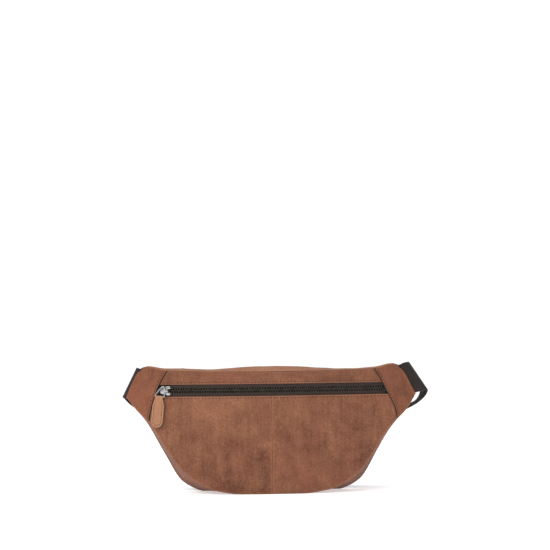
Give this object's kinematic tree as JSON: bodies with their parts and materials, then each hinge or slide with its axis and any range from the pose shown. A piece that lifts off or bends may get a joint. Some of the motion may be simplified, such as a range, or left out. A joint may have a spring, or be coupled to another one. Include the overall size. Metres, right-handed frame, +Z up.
{
  "type": "waist pack",
  "caption": "Leather waist pack with a curved front zip pocket, a main zip along the top, leather pull tabs and a webbing belt closed by a side-release buckle behind it.",
  "frame": {"origin": "middle of the flat bottom that the pack stands on", "axes": "+X to the viewer's right along the zips, +Y from the front face to the back, +Z up"},
  "size_m": [0.3696, 0.1177, 0.1523],
  "materials": {
    "nubuck": "reddish brown mottled nubuck, matt with a short nap",
    "tab_leather": "lighter tan suede, two layers",
    "lining": "plain woven polyester lining",
    "foam": "closed-cell foam padding",
    "zip_tape": "dark brown woven zip tape",
    "zip_teeth": "dark gunmetal teeth",
    "nickel": "bright nickel",
    "webbing": "dark brown ribbed webbing",
    "elastic": "woven elastic loop",
    "buckle_plastic": "dark brown moulded acetal"
  },
  "bodies": {
    "shell": {"front_panel_left": "nubuck", "front_panel_right": "nubuck", "front_top_band": "nubuck", "wing_left": "nubuck", "wing_right": "nubuck", "back_panel": "nubuck", "bottom_gusset": "nubuck", "side_gusset_left": "nubuck", "side_gusset_right": "nubuck", "top_strip_front": "nubuck", "top_strip_back": "nubuck", "pocket_divider": "lining", "back_foam": "foam", "back_lining": "lining", "front_zip_tape_upper": "zip_tape", "front_zip_tape_lower": "zip_tape", "front_zip_teeth_upper": "zip_teeth", "front_zip_teeth_lower": "zip_teeth", "front_zip_stops": "zip_teeth", "main_zip_tape_front": "zip_tape", "main_zip_tape_back": "zip_tape", "main_zip_teeth_front": "zip_teeth", "main_zip_teeth_back": "zip_teeth", "main_zip_stops": "zip_teeth", "webbing_left": "webbing", "webbing_right": "webbing", "buckle_female": "buckle_plastic"},
    "front_slider": {"front_slider": "nickel"},
    "front_ring": {"front_pull_ring": "nickel"},
    "front_tab": {"front_pull_tab": "tab_leather"},
    "main_slider": {"main_slider": "nickel"},
    "main_ring": {"main_pull_ring": "nickel"},
    "main_tab": {"main_pull_tab": "tab_leather"},
    "buckle_male": {"buckle_male": "buckle_plastic", "webbing_slack": "webbing", "webbing_tail": "webbing"},
    "arm_front": {"buckle_arm_front": "buckle_plastic"},
    "arm_back": {"buckle_arm_back": "buckle_plastic"},
    "keeper": {"strap_keeper": "elastic"}
  },
  "joints": [
    {"name": "front_zip_travel", "type": "hinge", "parent": "shell", "child": "front_slider", "pos_m": [0, 0.416, 0.1214], "axis": [0, 0, 1], "range_deg": [0, 32.2], "deforming": ["front_zip_tape_upper", "front_zip_tape_lower", "front_zip_teeth_upper", "front_zip_teeth_lower"]},
    {"name": "front_ring_flip", "type": "hinge", "parent": "front_slider", "child": "front_ring", "pos_m": [-0.12578, -0.01898, 0.1214], "axis": [0, 0, 1], "range_deg": [0, 90]},
    {"name": "front_tab_swing", "type": "hinge", "parent": "front_ring", "child": "front_tab", "pos_m": [-0.13178, -0.01724, 0.11445], "axis": [-0.957, 0.2767, 0.0872], "range_deg": [0, 110]},
    {"name": "main_zip_travel", "type": "slide", "parent": "shell", "child": "main_slider", "axis": [1, 0, 0], "range_m": [0, 0.21], "deforming": ["main_zip_tape_front", "main_zip_tape_back", "main_zip_teeth_front", "main_zip_teeth_back"]},
    {"name": "main_ring_flip", "type": "hinge", "parent": "main_slider", "child": "main_ring", "pos_m": [-0.105, 0.0095, 0.1453], "axis": [0, 1, 0], "range_deg": [0, 170]},
    {"name": "main_tab_swing", "type": "hinge", "parent": "main_ring", "child": "main_tab", "pos_m": [-0.11125, 0.0245, 0.1453], "axis": [1, 0, 0], "range_deg": [0, 110]},
    {"name": "buckle_release", "type": "slide", "parent": "shell", "child": "buckle_male", "axis": [1, 0, 0], "range_m": [0, 0.03], "deforming": ["webbing_slack", "buckle_arm_front", "buckle_arm_back"]},
    {"name": "arm_front_squeeze", "type": "hinge", "parent": "buckle_male", "child": "arm_front", "pos_m": [-0.0297, 0.041, 0.0062], "axis": [0, 0, -1], "range_deg": [0, 11.5], "stiffness_Nm_per_rad": 0.3},
    {"name": "arm_back_squeeze", "type": "hinge", "parent": "buckle_male", "child": "arm_back", "pos_m": [-0.0297, 0.067, 0.0062], "axis": [0, 0, 1], "range_deg": [0, 11.5], "stiffness_Nm_per_rad": 0.3},
    {"name": "keeper_slide", "type": "slide", "parent": "shell", "child": "keeper", "axis": [1, 0, 0], "range_m": [-0.004, 0.01]}
  ]
}
